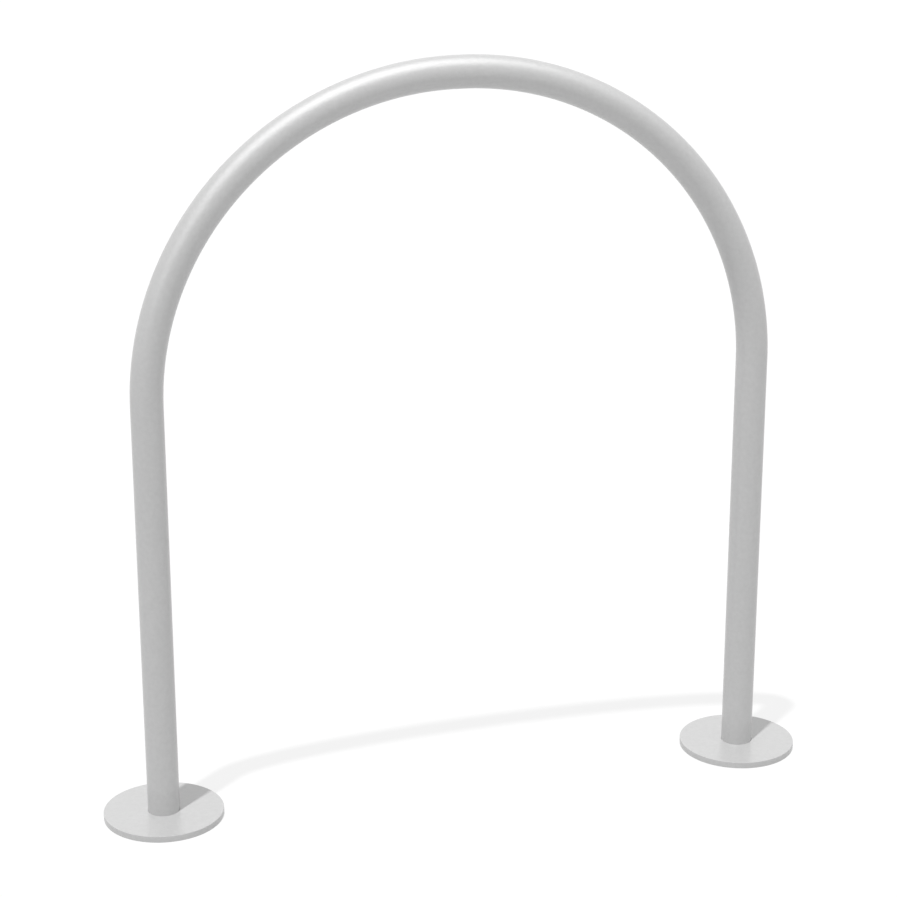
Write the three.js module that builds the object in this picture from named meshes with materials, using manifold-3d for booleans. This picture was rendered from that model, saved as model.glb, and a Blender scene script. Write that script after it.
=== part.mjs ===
// Hoop bike rack: one bent tube standing on two round feet. Millimetres, +Z up.
// The origin is on the ground, midway between the legs, and the hoop stands in the XZ plane.

import * as THREE from "three";
import { mergeVertices } from "three/addons/utils/BufferGeometryUtils.js";
import Module from "manifold-3d";

const wasm = await Module();
wasm.setup();

// Hoop: two straight legs joined by two quarter bends, all one length of tube.
const hoopHeight = 896; // ground to the top of the crown
const legSpacing = 735; // centre to centre
const crownLength = 6.4; // straight tube left between the two bends
const tubeDiameter = 38.1;
const tubeWall = 3.05;

// Cover plate: a pressed disc with a turned-down rim, which slides on the leg.
const coverDiameter = 143.5;
const coverSheet = 1.5;
const coverCornerRadius = 0.5;
const coverBoreClearance = 0.3; // all round the leg
const coverBoreBreak = 0.2;

// Anchor plate: the round foot under the cover, which the leg is welded into.
const anchorThickness = 4.8;
const anchorEdgeBreak = 0.6;
const anchorRimClearance = 2.75; // inside the cover's rim
const anchorHeadroom = 1.4; // under the cover's roof
const anchorHoleDiameter = 10.5;
const anchorHoleLand = 1.05; // straight wall left below the countersink
const anchorHoleInset = 17.5; // hole centre to the plate's edge
const anchorHoleCount = 3;

// Weld: a bead between the end of the leg and the hole in the plate, on the underside.
const weldRecess = 0.3; // above the ground
const weldThroat = 1.8;
const weldWidth = 2.75;

const seatGap = 0.3; // between pieces that touch
const cutOverrun = 1; // how far a cut runs past the face that it opens

// How finely the round forms are divided.
const tubeSides = 48;
const tubeBoreSides = 24;
const quarterSteps = 24; // along each bend
const discSides = 72;
const holeSides = 32;
const cornerSteps = 4;

// Sizes that follow from the ones above.
const tubeRadius = tubeDiameter / 2;
const tubeBoreRadius = tubeRadius - tubeWall;
const legOffset = legSpacing / 2;
const bendRadius = (legSpacing - crownLength) / 2;
const bendStart = hoopHeight - tubeRadius - bendRadius;
const hoopSteps = 2 * quarterSteps + 3; // two bends, the crown and two legs
const legEnd = weldRecess + weldThroat + seatGap;
const socketRadius = tubeRadius + seatGap;
const coverRadius = coverDiameter / 2;
const coverRoof = anchorThickness + anchorHeadroom;
const coverHeight = coverRoof + coverSheet;
const coverBoreRadius = tubeRadius + coverBoreClearance;
const anchorRadius = coverRadius - coverSheet - anchorRimClearance;
const anchorHoleRadius = anchorHoleDiameter / 2;
const countersinkDepth = anchorThickness - anchorHoleLand;
const anchorHoleCircle = anchorRadius - anchorHoleInset;

const coat = new THREE.Color(0xdadada);
const hoopCoat = new THREE.MeshStandardMaterial({ color: coat, roughness: 0.42, metalness: 0 });
const coverCoat = new THREE.MeshStandardMaterial({ color: coat, roughness: 0.46, metalness: 0 });
const anchorCoat = new THREE.MeshStandardMaterial({ color: 0xb9bbbd, roughness: 0.6, metalness: 0.4 });
const weldMetal = new THREE.MeshStandardMaterial({ color: 0x8e9092, roughness: 0.55, metalness: 0.8 });

// Centreline of the tube: up the left leg, round a quarter bend, across the short crown,
// round the other quarter bend and down the right leg.
// Its stations are the tube's two ends and the even steps of both bends.
class HoopCentreline extends THREE.Curve {
  stationAt(share) {
    const station = Math.round(share * hoopSteps);
    const isLeft = station <= quarterSteps + 1;
    const step = THREE.MathUtils.clamp(isLeft ? station - 1 : station - 2, 0, 2 * quarterSteps);
    const angle = (0.5 * Math.PI * step) / quarterSteps;
    const bendCentre = (isLeft ? -crownLength : crownLength) / 2;
    return { angle, bendCentre };
  }

  getPointAt(share, target = new THREE.Vector3()) {
    const { angle, bendCentre } = this.stationAt(share);
    const isTubeEnd = share === 0 || share === 1;
    const height = isTubeEnd ? legEnd : bendStart + bendRadius * Math.sin(angle);
    return target.set(bendCentre - bendRadius * Math.cos(angle), 0, height);
  }

  getTangentAt(share, target = new THREE.Vector3()) {
    const { angle } = this.stationAt(share);
    return target.set(Math.sin(angle), 0, Math.cos(angle));
  }
}

// Points on an arc of an ellipse, both ends included.
function arcPoints(centreX, centreY, radiusX, radiusY, startAngle, endAngle, steps) {
  const points = [];
  for (let step = 0; step <= steps; step += 1) {
    const angle = startAngle + ((endAngle - startAngle) * step) / steps;
    const x = centreX + radiusX * Math.cos(angle);
    const y = centreY + radiusY * Math.sin(angle);
    points.push(new THREE.Vector2(x, y));
  }
  return points;
}

// A regular polygon for one wall of the tube's section.
function ringPoints(radius, sides) {
  return arcPoints(0, 0, radius, radius, 0, 2 * Math.PI, sides).slice(0, -1);
}

// Turns a profile of radius and height about the vertical axis.
function turned(profile, sides) {
  return new THREE.LatheGeometry(profile, sides).rotateX(Math.PI / 2);
}

function toSolid(geometry) {
  const bare = geometry.clone();
  bare.deleteAttribute("normal");
  bare.deleteAttribute("uv");
  const merged = mergeVertices(bare);
  const vertProperties = merged.attributes.position.array;
  const triVerts = new Uint32Array(merged.index.array);
  return new wasm.Manifold(new wasm.Mesh({ numProp: 3, vertProperties, triVerts }));
}

function toGeometry(solid) {
  const { vertProperties, triVerts } = solid.getMesh();
  const geometry = new THREE.BufferGeometry();
  geometry.setAttribute("position", new THREE.BufferAttribute(vertProperties, 3));
  geometry.setIndex(new THREE.BufferAttribute(triVerts, 1));
  const faceted = geometry.toNonIndexed();
  faceted.computeVertexNormals();
  return faceted;
}

function namedMesh(name, geometry, material) {
  const mesh = new THREE.Mesh(geometry, material);
  mesh.name = name;
  return mesh;
}

// The bent tube, open at both ends.
function hoopGeometry() {
  const section = new THREE.Shape(ringPoints(tubeRadius, tubeSides));
  section.holes.push(new THREE.Path(ringPoints(tubeBoreRadius, tubeBoreSides)));
  return new THREE.ExtrudeGeometry(section, {
    steps: hoopSteps,
    extrudePath: new HoopCentreline(),
  });
}

// The cover: a flat roof with a round bore, a rounded shoulder and a thin rim down to the ground.
function coverGeometry() {
  const innerRadius = coverRadius - coverSheet;
  const shoulder = arcPoints(
    coverRadius - coverCornerRadius,
    coverHeight - coverCornerRadius,
    coverCornerRadius,
    coverCornerRadius,
    0,
    Math.PI / 2,
    cornerSteps,
  );
  const profile = [
    new THREE.Vector2(innerRadius, coverRoof),
    new THREE.Vector2(innerRadius, 0),
    new THREE.Vector2(coverRadius, 0),
    ...shoulder,
    new THREE.Vector2(coverBoreRadius + coverBoreBreak, coverHeight),
    new THREE.Vector2(coverBoreRadius, coverHeight - coverBoreBreak),
    new THREE.Vector2(coverBoreRadius, coverRoof),
    new THREE.Vector2(innerRadius, coverRoof),
  ];
  return turned(profile, discSides);
}

// What one anchor hole takes out of the plate: a drilled hole and a 90 degree countersink.
function countersunkHole() {
  const top = anchorThickness + cutOverrun;
  const profile = [
    new THREE.Vector2(0, -cutOverrun),
    new THREE.Vector2(anchorHoleRadius, -cutOverrun),
    new THREE.Vector2(anchorHoleRadius, anchorHoleLand),
    new THREE.Vector2(anchorHoleRadius + countersinkDepth + cutOverrun, top),
    new THREE.Vector2(0, top),
  ];
  return turned(profile, holeSides);
}

// The anchor plate: a round plate with the leg's socket and a ring of anchor holes.
function anchorGeometry() {
  const profile = [
    new THREE.Vector2(socketRadius, 0),
    new THREE.Vector2(anchorRadius, 0),
    new THREE.Vector2(anchorRadius, anchorThickness - anchorEdgeBreak),
    new THREE.Vector2(anchorRadius - anchorEdgeBreak, anchorThickness),
    new THREE.Vector2(socketRadius, anchorThickness),
    new THREE.Vector2(socketRadius, 0),
  ];
  let plate = toSolid(turned(profile, discSides));
  for (let hole = 0; hole < anchorHoleCount; hole += 1) {
    const angle = Math.PI / 2 + (2 * Math.PI * hole) / anchorHoleCount;
    const cut = countersunkHole();
    cut.translate(anchorHoleCircle * Math.cos(angle), anchorHoleCircle * Math.sin(angle), 0);
    plate = plate.subtract(toSolid(cut));
  }
  return toGeometry(plate);
}

// The weld: a rounded bead under the end of the tube's wall.
function weldGeometry() {
  const top = weldRecess + weldThroat;
  const bead = arcPoints(tubeRadius, top, weldWidth, weldThroat, Math.PI, 1.5 * Math.PI, cornerSteps);
  const corner = new THREE.Vector2(tubeRadius, top);
  return turned([corner, ...bead, corner], discSides / 2);
}

// One foot, on the leg's axis: the anchor plate, its weld and the cover that hides both.
function foot(side, legX) {
  const group = new THREE.Group();
  group.position.x = legX;
  group.add(namedMesh(`${side}_anchor_plate`, anchorGeometry(), anchorCoat));
  group.add(namedMesh(`${side}_weld`, weldGeometry(), weldMetal));
  group.add(namedMesh(`${side}_cover_plate`, coverGeometry(), coverCoat));
  return group;
}

const hoopBikeRack = new THREE.Group();
hoopBikeRack.add(namedMesh("hoop_tube", hoopGeometry(), hoopCoat));
hoopBikeRack.add(foot("left", -legOffset));
hoopBikeRack.add(foot("right", legOffset));

export default hoopBikeRack;
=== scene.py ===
import math

import bmesh
import bpy
from mathutils import Matrix, Quaternion, Vector


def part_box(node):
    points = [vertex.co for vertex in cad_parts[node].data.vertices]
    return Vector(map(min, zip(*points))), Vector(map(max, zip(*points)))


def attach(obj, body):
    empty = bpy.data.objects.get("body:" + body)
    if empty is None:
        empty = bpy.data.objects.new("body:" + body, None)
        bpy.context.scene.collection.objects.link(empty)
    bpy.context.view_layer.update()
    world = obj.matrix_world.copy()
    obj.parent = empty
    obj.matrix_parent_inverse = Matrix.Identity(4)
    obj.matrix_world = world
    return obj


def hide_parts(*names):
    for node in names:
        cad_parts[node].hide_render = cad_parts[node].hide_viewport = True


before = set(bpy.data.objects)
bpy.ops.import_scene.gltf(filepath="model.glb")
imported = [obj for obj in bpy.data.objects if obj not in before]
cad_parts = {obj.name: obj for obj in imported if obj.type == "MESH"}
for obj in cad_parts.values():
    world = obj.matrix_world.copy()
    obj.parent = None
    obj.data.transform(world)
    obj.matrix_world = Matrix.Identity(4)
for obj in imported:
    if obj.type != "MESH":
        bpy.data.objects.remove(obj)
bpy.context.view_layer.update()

# Hoop bike rack: a bent tube on two round feet, each foot an anchor plate under a sliding cover.
# Metres, +Z up, the hoop in the XZ plane.

sides = ("left", "right")


def circle(centreX, height, radius, count):
    # one level ring of points round a leg
    turn = 2 * math.pi / count
    return [
        Vector((centreX + radius * math.cos(turn * i), radius * math.sin(turn * i), height))
        for i in range(count)
    ]


def loftRings(name, rings, closedLoft=True):
    # quads between neighbouring rings; an open loft gets a flat face at each end
    mesh = bmesh.new()
    grid = [[mesh.verts.new(point) for point in ring] for ring in rings]
    count = len(rings[0])
    for r in range(len(grid) if closedLoft else len(grid) - 1):
        near, far = grid[r], grid[(r + 1) % len(grid)]
        for i in range(count):
            j = (i + 1) % count
            mesh.faces.new((near[i], near[j], far[j], far[i]))
    if not closedLoft:
        mesh.faces.new(grid[0])
        mesh.faces.new(grid[-1])
    bmesh.ops.recalc_face_normals(mesh, faces=mesh.faces)
    data = bpy.data.meshes.new(name)
    mesh.to_mesh(data)
    mesh.free()
    piece = bpy.data.objects.new(name, data)
    bpy.context.scene.collection.objects.link(piece)
    return piece


def turnProfile(name, centreX, profile, count, closedLoft=True):
    # a profile of (radius, height) turned about a leg's axis
    return loftRings(name, [circle(centreX, z, r, count) for r, z in profile], closedLoft)


def arc(centreR, centreZ, radius, startDeg, endDeg, steps):
    # profile points round a corner, both ends included
    points = []
    for i in range(steps + 1):
        a = math.radians(startDeg + (endDeg - startDeg) * i / steps)
        points.append((centreR + radius * math.cos(a), centreZ + radius * math.sin(a)))
    return points


def shadeSmooth(piece, creaseDeg):
    piece.data.shade_smooth()
    piece.data.set_sharp_from_angle(angle=math.radians(creaseDeg))


def applyModifiers(piece):
    graph = bpy.context.evaluated_depsgraph_get()
    finished = bpy.data.meshes.new_from_object(piece.evaluated_get(graph))
    piece.modifiers.clear()
    piece.data = finished


def finishPiece(piece, body, node, material):
    piece.data.materials.clear()
    piece.data.materials.append(material)
    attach(piece, body)
    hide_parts(node)


# Materials

coat = {
    "colour": (0.62, 0.62, 0.62),   # light silver grey, linear
    "colourShift": 0.016,           # how far the mottle goes lighter and darker
    "mottleSize": 0.005,
    "mottleDetail": 4.0,
    "metallic": 0.190,              # the powder carries a little fine metal flake
    "roughness": 0.315,
    "roughnessShift": 0.03,
    "sheenSize": 0.011,             # patches that are glossier or duller
    "sheenDetail": 3.0,
    "peelSize": 0.0036,             # width of one orange-peel dimple
    "peelDepth": 0.0002,
    "grainSize": 0.0007,
    "grainDepth": 0.000008,
    "grainDetail": 1.0,
}


def newMaterial(name):
    material = bpy.data.materials.new(name)
    material.use_nodes = True
    nodes, links = material.node_tree.nodes, material.node_tree.links
    shader = nodes["Principled BSDF"]
    place = nodes.new("ShaderNodeTexCoord")
    return material, nodes, links, shader, place.outputs["Object"]


def noise(nodes, links, place, size, detail=2.0):
    texture = nodes.new("ShaderNodeTexNoise")
    texture.inputs["Scale"].default_value = 1.0 / size
    texture.inputs["Detail"].default_value = detail
    links.new(place, texture.inputs["Vector"])
    return texture.outputs["Fac"]


noiseRange = (0.3, 0.7)  # where nearly all of a noise's values lie


def spread(nodes, links, value, low, high):
    # stretches a noise over low to high
    remap = nodes.new("ShaderNodeMapRange")
    remap.inputs["From Min"].default_value = noiseRange[0]
    remap.inputs["From Max"].default_value = noiseRange[1]
    remap.inputs["To Min"].default_value = low
    remap.inputs["To Max"].default_value = high
    links.new(value, remap.inputs["Value"])
    return remap.outputs["Result"]


def bump(nodes, links, height, depth, before=None):
    node = nodes.new("ShaderNodeBump")
    node.inputs["Strength"].default_value = 1.0
    node.inputs["Distance"].default_value = depth
    links.new(height, node.inputs["Height"])
    if before:
        links.new(before, node.inputs["Normal"])
    return node.outputs["Normal"]


def varyColour(nodes, links, shader, factor, values):
    # mixes a darker and a lighter tone of the one colour
    colour, shift = values["colour"], values["colourShift"]
    mix = nodes.new("ShaderNodeMix")
    mix.data_type = "RGBA"
    mix.inputs["A"].default_value = (*(c - shift for c in colour), 1.0)
    mix.inputs["B"].default_value = (*(c + shift for c in colour), 1.0)
    links.new(factor, mix.inputs["Factor"])
    links.new(mix.outputs["Result"], shader.inputs["Base Color"])


def varyGloss(nodes, links, shader, value, values):
    low = values["roughness"] - values["roughnessShift"]
    high = values["roughness"] + values["roughnessShift"]
    links.new(spread(nodes, links, value, low, high), shader.inputs["Roughness"])


def powderCoat(name, values):
    material, nodes, links, shader, place = newMaterial(name)
    shader.inputs["Metallic"].default_value = values["metallic"]
    mottle = noise(nodes, links, place, values["mottleSize"], values["mottleDetail"])
    varyColour(nodes, links, shader, spread(nodes, links, mottle, 0.0, 1.0), values)
    sheen = noise(nodes, links, place, values["sheenSize"], values["sheenDetail"])
    varyGloss(nodes, links, shader, sheen, values)
    peel = bump(nodes, links, noise(nodes, links, place, values["peelSize"]), values["peelDepth"])
    grain = noise(nodes, links, place, values["grainSize"], values["grainDetail"])
    links.new(bump(nodes, links, grain, values["grainDepth"], peel), shader.inputs["Normal"])
    return material


zinc = {
    "colour": (0.50, 0.51, 0.52),
    "colourShift": 0.06,
    "metallic": 0.85,
    "roughness": 0.42,
    "roughnessShift": 0.08,
    "spangleSize": 0.009,    # one crystal of the zinc
    "grainSize": 0.0015,
    "grainDepth": 0.00003,
}


def zincCoat(name, values):
    material, nodes, links, shader, place = newMaterial(name)
    shader.inputs["Metallic"].default_value = values["metallic"]
    spangle = nodes.new("ShaderNodeTexVoronoi")
    spangle.inputs["Scale"].default_value = 1.0 / values["spangleSize"]
    links.new(place, spangle.inputs["Vector"])
    grey = nodes.new("ShaderNodeRGBToBW")
    links.new(spangle.outputs["Color"], grey.inputs["Color"])
    varyColour(nodes, links, shader, grey.outputs["Val"], values)
    varyGloss(nodes, links, shader, grey.outputs["Val"], values)
    grain = noise(nodes, links, place, values["grainSize"])
    links.new(bump(nodes, links, grain, values["grainDepth"]), shader.inputs["Normal"])
    return material


weldTone = {
    "colour": (0.33, 0.33, 0.335),
    "colourShift": 0.07,
    "metallic": 0.9,
    "roughness": 0.5,
    "roughnessShift": 0.1,
    "scaleSize": 0.004,      # patches of burnt scale
    "scaleDetail": 4.0,
    "sheenSize": 0.002,
    "grainSize": 0.0008,
    "grainDepth": 0.00004,
}


def weldMetal(name, values):
    material, nodes, links, shader, place = newMaterial(name)
    shader.inputs["Metallic"].default_value = values["metallic"]
    scale = noise(nodes, links, place, values["scaleSize"], values["scaleDetail"])
    varyColour(nodes, links, shader, spread(nodes, links, scale, 0.0, 1.0), values)
    varyGloss(nodes, links, shader, noise(nodes, links, place, values["sheenSize"]), values)
    grain = noise(nodes, links, place, values["grainSize"])
    links.new(bump(nodes, links, grain, values["grainDepth"]), shader.inputs["Normal"])
    return material


hoopCoat = powderCoat("hoop_coat", coat)
coverCoat = powderCoat("cover_coat", coat)
anchorZinc = zincCoat("anchor_zinc", zinc)
weldBeadMetal = weldMetal("weld_metal", weldTone)
print("materials made: powder coat, zinc, weld")

# Hoop tube

hoopTube = {
    "wall": 0.00305,
    "crownLength": 0.0064,   # straight tube between the two quarter bends
    "endBreak": 0.0004,      # deburred edge at the cut ends
    "sides": 96,
    "legSteps": 8,
    "quarterSteps": 72,
    "creaseDeg": 35,
}
hoopLow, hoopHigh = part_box("hoop_tube")
tubeRadius = (hoopHigh.y - hoopLow.y) / 2
legOffset = hoopHigh.x - tubeRadius
bendRadius = legOffset - hoopTube["crownLength"] / 2
bendStart = hoopHigh.z - tubeRadius - bendRadius


def hoopRing(station, radius, count):
    # a ring square to the tube's centreline; station is (x, z, slope), slope 0 going straight up
    x, z, slope = station
    turn = 2 * math.pi / count
    ring = []
    for i in range(count):
        out, deep = radius * math.cos(turn * i), radius * math.sin(turn * i)
        ring.append(Vector((x - out * math.cos(slope), deep, z + out * math.sin(slope))))
    return ring


def hoopStations(values):
    # up the left leg, round one bend, across the crown, round the other bend, down the right leg
    foot = hoopLow.z + values["endBreak"]
    legs, quarter = values["legSteps"], values["quarterSteps"]
    stations = []
    for i in range(legs):
        stations.append((-legOffset, foot + (bendStart - foot) * i / legs, 0.0))
    for i in range(quarter + 1):
        slope = 0.5 * math.pi * i / quarter
        reach = values["crownLength"] / 2 + bendRadius * math.cos(slope)
        stations.append((-reach, bendStart + bendRadius * math.sin(slope), slope))
    # the right half mirrors the left
    return stations + [(-x, z, math.pi - slope) for x, z, slope in reversed(stations)]


def buildHoop(values):
    boreRadius = tubeRadius - values["wall"]
    cut = values["endBreak"]
    stations = hoopStations(values)
    ends = [(-legOffset, hoopLow.z, 0.0), (legOffset, hoopLow.z, math.pi)]
    rings = [hoopRing(ends[0], tubeRadius - cut, values["sides"])]
    rings += [hoopRing(s, tubeRadius, values["sides"]) for s in stations]
    rings += [hoopRing(ends[1], tubeRadius - cut, values["sides"])]
    rings += [hoopRing(ends[1], boreRadius + cut, values["sides"])]
    rings += [hoopRing(s, boreRadius, values["sides"]) for s in reversed(stations)]
    rings += [hoopRing(ends[0], boreRadius + cut, values["sides"])]
    piece = loftRings("hoop_tube_coated", rings)
    shadeSmooth(piece, values["creaseDeg"])
    return piece


finishPiece(buildHoop(hoopTube), "rack", "hoop_tube", hoopCoat)
print("hoop tube bent")

# Cover plates

coverPlate = {
    "sheet": 0.0015,
    "shoulder": 0.0005,      # outer corner of the pressed rim
    "boreGap": 0.00016,      # all round the leg, over both coats
    "boreBreak": 0.00008,
    "rimBreak": 0.00025,
    "flatEdge": 0.001,       # keeps the roof flat up to its corners
    "sides": 144,
    "cornerSteps": 6,
    "creaseDeg": 32,
}


def buildCover(side, values):
    low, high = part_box(f"{side}_cover_plate")
    legX = (low.x + high.x) / 2
    outer = (high.y - low.y) / 2
    inner = outer - values["sheet"]
    bore = tubeRadius + values["boreGap"]
    foot, roof, top = low.z, high.z - values["sheet"], high.z
    corner, rim = values["shoulder"], values["rimBreak"]
    edge, flat = values["boreBreak"], values["flatEdge"]
    profile = [(inner, roof - rim), (inner, foot + rim), (inner + rim, foot)]
    profile += [(outer - rim, foot), (outer, foot + rim)]
    profile += arc(outer - corner, top - corner, corner, 0, 90, values["cornerSteps"])
    profile += [(outer - corner - flat, top), (bore + edge + flat, top), (bore + edge, top)]
    profile += [(bore, top - edge), (bore, roof), (inner - rim, roof)]
    piece = turnProfile(f"{side}_cover_disc", legX, profile, values["sides"])
    shadeSmooth(piece, values["creaseDeg"])
    return piece


covers = bpy.data.collections.new("covers")
for side in sides:
    cover = buildCover(side, coverPlate)
    finishPiece(cover, f"{side}_cover", f"{side}_cover_plate", coverCoat)
    covers.objects.link(cover)
print("cover plates pressed")

# Anchor plates

anchorPlate = {
    "socketGap": 0.0003,
    "edgeBreak": 0.0006,
    "holeDiameter": 0.0105,
    "holeLand": 0.00105,     # straight wall below the countersink
    "holeInset": 0.0175,     # hole centre to the plate's edge
    "holeCount": 3,
    "overrun": 0.001,        # how far the drill runs past both faces
    "mergeReach": 0.000001,  # joins the points that the cuts leave almost touching
    "sides": 144,
    "holeSides": 48,
    "creaseDeg": 30,
}


def buildAnchor(side, values):
    low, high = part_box(f"{side}_anchor_plate")
    legX = (low.x + high.x) / 2
    outer = (high.y - low.y) / 2
    top, cut = high.z, values["edgeBreak"]
    socket = tubeRadius + values["socketGap"]
    profile = [(socket, low.z), (outer, low.z), (outer, top - cut), (outer - cut, top), (socket, top)]
    piece = turnProfile(f"{side}_anchor_disc", legX, profile, values["sides"])
    # a straight hole that opens into a 90 degree countersink
    hole = values["holeDiameter"] / 2
    land = low.z + values["holeLand"]
    over = values["overrun"]
    flare = hole + top - land + over
    drill = [(hole, low.z - over), (hole, land), (flare, top + over)]
    cutters = []
    for i in range(values["holeCount"]):
        angle = math.pi / 2 + 2 * math.pi * i / values["holeCount"]
        cutter = turnProfile(f"drill{i}", 0.0, drill, values["holeSides"], closedLoft=False)
        reach = outer - values["holeInset"]
        cutter.location = (legX + reach * math.cos(angle), reach * math.sin(angle), 0.0)
        boolean = piece.modifiers.new(f"hole{i}", "BOOLEAN")
        boolean.operation = "DIFFERENCE"
        boolean.solver = "EXACT"
        boolean.object = cutter
        cutters.append(cutter)
    merge = piece.modifiers.new("merge", "WELD")
    merge.merge_threshold = values["mergeReach"]
    applyModifiers(piece)
    for cutter in cutters:
        bpy.data.objects.remove(cutter)
    shadeSmooth(piece, values["creaseDeg"])
    return piece


for side in sides:
    finishPiece(buildAnchor(side, anchorPlate), "rack", f"{side}_anchor_plate", anchorZinc)
print("anchor plates cut and drilled")

# Weld beads

weldBead = {
    "rippleCount": 66,
    "rippleDepth": 0.00012,
    "stepsPerRipple": 6,
    "beadSteps": 8,
    "creaseDeg": 50,
}


def buildWeld(side, values):
    # a quarter-round bead under the tube's wall, with the ripples of a hand weld
    low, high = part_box(f"{side}_weld")
    legX = (low.x + high.x) / 2
    outer = (high.y - low.y) / 2
    throat = high.z - low.z
    width = outer - (tubeRadius - hoopTube["wall"]) - hoopTube["endBreak"]
    count = values["rippleCount"] * values["stepsPerRipple"]
    rings = []
    for i in range(count):
        angle = 2 * math.pi * i / count
        phase = (i % values["stepsPerRipple"]) / values["stepsPerRipple"]
        ripple = values["rippleDepth"] * (1 - math.sin(math.pi * phase))
        points = [(outer, high.z)]
        for k in range(values["beadSteps"] + 1):
            a = 0.5 * math.pi * k / values["beadSteps"]
            reach = outer - (width - ripple) * math.cos(a)
            points.append((reach, high.z - (throat - ripple) * math.sin(a)))
        rings.append([
            Vector((legX + r * math.cos(angle), r * math.sin(angle), z)) for r, z in points
        ])
    piece = loftRings(f"{side}_weld_bead", rings)
    shadeSmooth(piece, values["creaseDeg"])
    return piece


for side in sides:
    finishPiece(buildWeld(side, weldBead), "rack", f"{side}_weld", weldBeadMetal)
print("weld beads laid")

# Camera

camera = {
    "azimuthDeg": 15.382,      # looks this far to the right of straight on
    "elevationDeg": 18.500,
    "distance": 2.8363,
    "lookAt": (-0.0130, 0.0, 0.43172),
    "lens": 96.384,
    "sensorWidth": 36.0,
    "rollDeg": 0.061,
}


def placeCamera(values):
    data = bpy.data.cameras.new("camera")
    data.sensor_width = values["sensorWidth"]
    data.lens = values["lens"]
    cam = bpy.data.objects.new("camera", data)
    bpy.context.scene.collection.objects.link(cam)
    a, e = math.radians(values["azimuthDeg"]), math.radians(values["elevationDeg"])
    forward = Vector((math.sin(a) * math.cos(e), math.cos(a) * math.cos(e), -math.sin(e)))
    cam.location = Vector(values["lookAt"]) - forward * values["distance"]
    roll = Quaternion((0.0, 0.0, 1.0), -math.radians(values["rollDeg"]))
    cam.rotation_mode = "QUATERNION"
    cam.rotation_quaternion = forward.to_track_quat("-Z", "Y") @ roll
    bpy.context.scene.camera = cam


placeCamera(camera)

# Studio

studio = {
    "sunAzimuthDeg": 223.0,      # anticlockwise from the X axis: it shines from the front left
    "sunElevationDeg": 75.7,
    "sunStrength": 1.92,
    "sunAngleDeg": 1.5,
    "lampDistance": 10.0,
    "skyLight": 0.548,           # what lights the object; the camera and reflections see 1
    "floorColour": (0.51, 0.51, 0.51),
    "floorSize": 40.0,
    "shadowShare": 0.22,         # how much of the shadow shows on the white floor
}
white = (1.0, 1.0, 1.0, 1.0)

# The soft boxes show only as highlights, and not on the covers, whose flat tops would mirror
# the overhead one as plain white. Each is an ellipse that fades out to its rim. The spreads are
# one sigma of the fade along and across it, seen from the rack, and the turn is from the X axis
# to the first of them. The white background has a radiance of 1.
softBoxes = {
    "overhead_box": {
        "azimuthDeg": 224.6,
        "elevationDeg": 76.4,
        "turnDeg": 10.3,
        "spreadDeg": (29.1, 19.4),
        "radiance": 3.08,
    },
    "left_box": {
        "azimuthDeg": 219.6,
        "elevationDeg": 29.1,
        "turnDeg": 121.5,
        "spreadDeg": (14.5, 14.8),
        "radiance": 0.98,
    },
    "right_box": {
        "azimuthDeg": -12.7,
        "elevationDeg": 50.9,
        "turnDeg": 101.8,
        "spreadDeg": (26.0, 16.1),
        "radiance": 0.53,
    },
}
fadeSigma = 0.425  # of a smooth fade's radius
rimReach = 0.5     # from a lamp's middle, as its parametric place runs from 0 to 1 each way


def whereSeen(nodes, links):
    # 1 for rays of the camera, reflections and refractions
    path = nodes.new("ShaderNodeLightPath")
    first = nodes.new("ShaderNodeMath")
    first.operation = "MAXIMUM"
    links.new(path.outputs["Is Camera Ray"], first.inputs[0])
    links.new(path.outputs["Is Glossy Ray"], first.inputs[1])
    second = nodes.new("ShaderNodeMath")
    second.operation = "MAXIMUM"
    links.new(first.outputs[0], second.inputs[0])
    links.new(path.outputs["Is Transmission Ray"], second.inputs[1])
    return second.outputs[0]


def lightWorld(values):
    world = bpy.data.worlds.new("studio")
    bpy.context.scene.world = world
    world.use_nodes = True
    nodes, links = world.node_tree.nodes, world.node_tree.links
    nodes.clear()
    lighting = nodes.new("ShaderNodeBackground")
    lighting.inputs["Strength"].default_value = values["skyLight"]
    shown = nodes.new("ShaderNodeBackground")
    shown.inputs["Strength"].default_value = 1.0
    for background in (lighting, shown):
        background.inputs["Color"].default_value = white
    mix = nodes.new("ShaderNodeMixShader")
    links.new(whereSeen(nodes, links), mix.inputs["Fac"])
    links.new(lighting.outputs[0], mix.inputs[1])
    links.new(shown.outputs[0], mix.inputs[2])
    output = nodes.new("ShaderNodeOutputWorld")
    links.new(mix.outputs[0], output.inputs["Surface"])


def towards(azimuthDeg, elevationDeg):
    a, e = math.radians(azimuthDeg), math.radians(elevationDeg)
    return Vector((math.cos(a) * math.cos(e), math.sin(a) * math.cos(e), math.sin(e)))


def addLamp(name, kind, direction, distance, turnDeg=0.0):
    # a lamp that shines back along direction, with its local X turned from the world's X axis
    data = bpy.data.lights.new(name, kind)
    lamp = bpy.data.objects.new(name, data)
    bpy.context.scene.collection.objects.link(lamp)
    turn = math.radians(turnDeg)
    along = Vector((math.cos(turn), math.sin(turn), 0.0))
    along = (along - along.dot(direction) * direction).normalized()
    axes = Matrix((along, direction.cross(along), direction)).transposed()
    lamp.matrix_world = axes.to_4x4()
    lamp.location = Vector((0.0, 0.0, hoopHigh.z / 2)) + direction * distance
    return lamp


def lightKey(values):
    direction = towards(values["sunAzimuthDeg"], values["sunElevationDeg"])
    sun = addLamp("key_sun", "SUN", direction, values["lampDistance"])
    sun.data.energy = values["sunStrength"]
    sun.data.angle = math.radians(values["sunAngleDeg"])
    sun.visible_glossy = False


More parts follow.
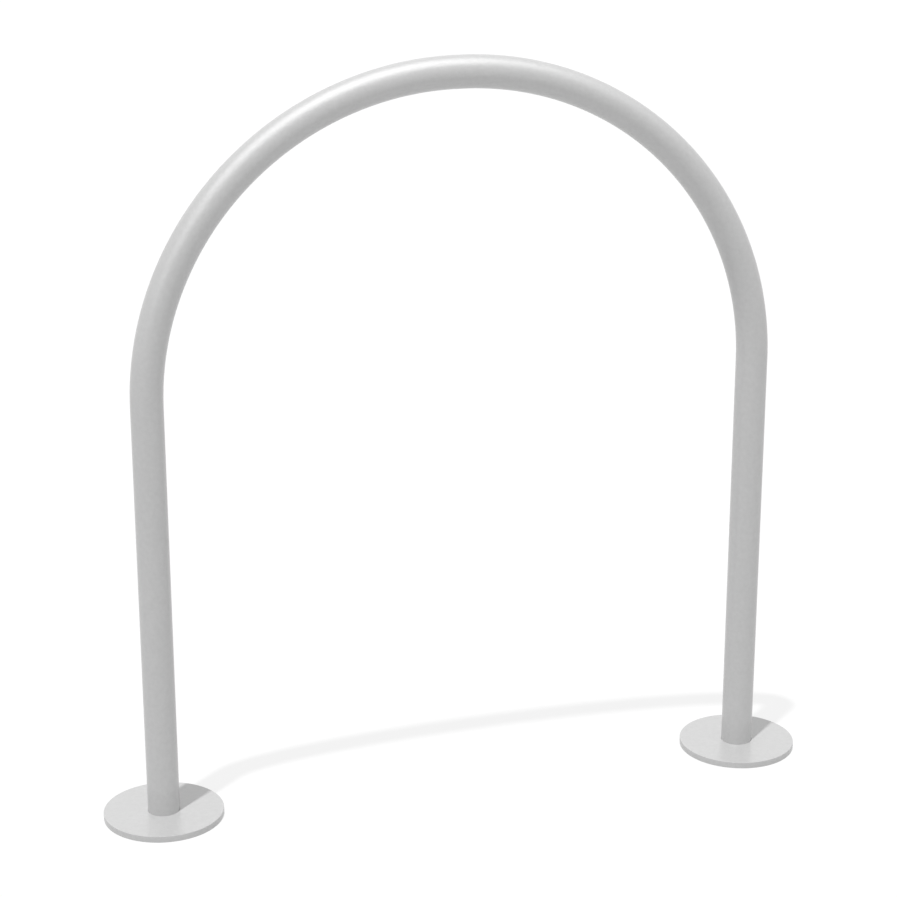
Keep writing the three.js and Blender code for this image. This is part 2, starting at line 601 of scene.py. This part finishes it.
def lightBox(name, distance, values):
    direction = towards(values["azimuthDeg"], values["elevationDeg"])
    box = addLamp(name, "AREA", direction, distance, values["turnDeg"])
    long, short = [math.tan(math.radians(s)) * distance / fadeSigma for s in values["spreadDeg"]]
    area = math.pi * long * short
    box.data.shape = "ELLIPSE"
    box.data.size, box.data.size_y = 2 * long, 2 * short
    box.data.energy = values["radiance"] * math.pi * area
    box.data.cycles.max_bounces = 0
    box.visible_camera = False
    box.visible_diffuse = False
    box.light_linking.receiver_collection = covers
    fadeToRim(box.data)


def fadeToRim(lamp):
    # brightest in the middle, dark at the rim
    lamp.use_nodes = True
    nodes, links = lamp.node_tree.nodes, lamp.node_tree.links
    place = nodes.new("ShaderNodeNewGeometry")
    reach = nodes.new("ShaderNodeVectorMath")
    reach.operation = "DISTANCE"
    reach.inputs[1].default_value = (rimReach, rimReach, 0.0)
    links.new(place.outputs["Parametric"], reach.inputs[0])
    fade = nodes.new("ShaderNodeMapRange")
    fade.interpolation_type = "SMOOTHSTEP"
    fade.inputs["From Min"].default_value = 0.0
    fade.inputs["From Max"].default_value = rimReach
    fade.inputs["To Min"].default_value = 1.0
    fade.inputs["To Max"].default_value = 0.0
    links.new(reach.outputs["Value"], fade.inputs["Value"])
    links.new(fade.outputs["Result"], nodes["Emission"].inputs["Strength"])


def layFloor(values):
    half = values["floorSize"] / 2
    corners = [(-half, -half), (half, -half), (half, half), (-half, half)]
    data = bpy.data.meshes.new("floor")
    data.from_pydata([(x, y, 0.0) for x, y in corners], [], [(0, 1, 2, 3)])
    floor = bpy.data.objects.new("floor", data)
    bpy.context.scene.collection.objects.link(floor)
    material = bpy.data.materials.new("pale_floor")
    material.use_nodes = True
    nodes, links = material.node_tree.nodes, material.node_tree.links
    nodes.clear()
    pale = nodes.new("ShaderNodeBsdfDiffuse")
    pale.inputs["Color"].default_value = (*values["floorColour"], 1.0)
    bright = nodes.new("ShaderNodeBsdfDiffuse")
    bright.inputs["Color"].default_value = white
    glow = nodes.new("ShaderNodeEmission")
    shown = nodes.new("ShaderNodeMixShader")
    shown.inputs["Fac"].default_value = values["shadowShare"]
    links.new(glow.outputs[0], shown.inputs[1])
    links.new(bright.outputs[0], shown.inputs[2])
    mix = nodes.new("ShaderNodeMixShader")
    links.new(whereSeen(nodes, links), mix.inputs["Fac"])
    links.new(pale.outputs[0], mix.inputs[1])
    links.new(shown.outputs[0], mix.inputs[2])
    output = nodes.new("ShaderNodeOutputMaterial")
    links.new(mix.outputs[0], output.inputs["Surface"])
    data.materials.append(material)


lightWorld(studio)
lightKey(studio)
for cover in covers.collection_objects:
    cover.light_linking.link_state = "EXCLUDE"  # so a soft box lights all but the covers
for name, values in softBoxes.items():
    lightBox(name, studio["lampDistance"], values)
layFloor(studio)
bpy.context.scene.view_settings.view_transform = "Standard"
print("camera, floor and lights set")
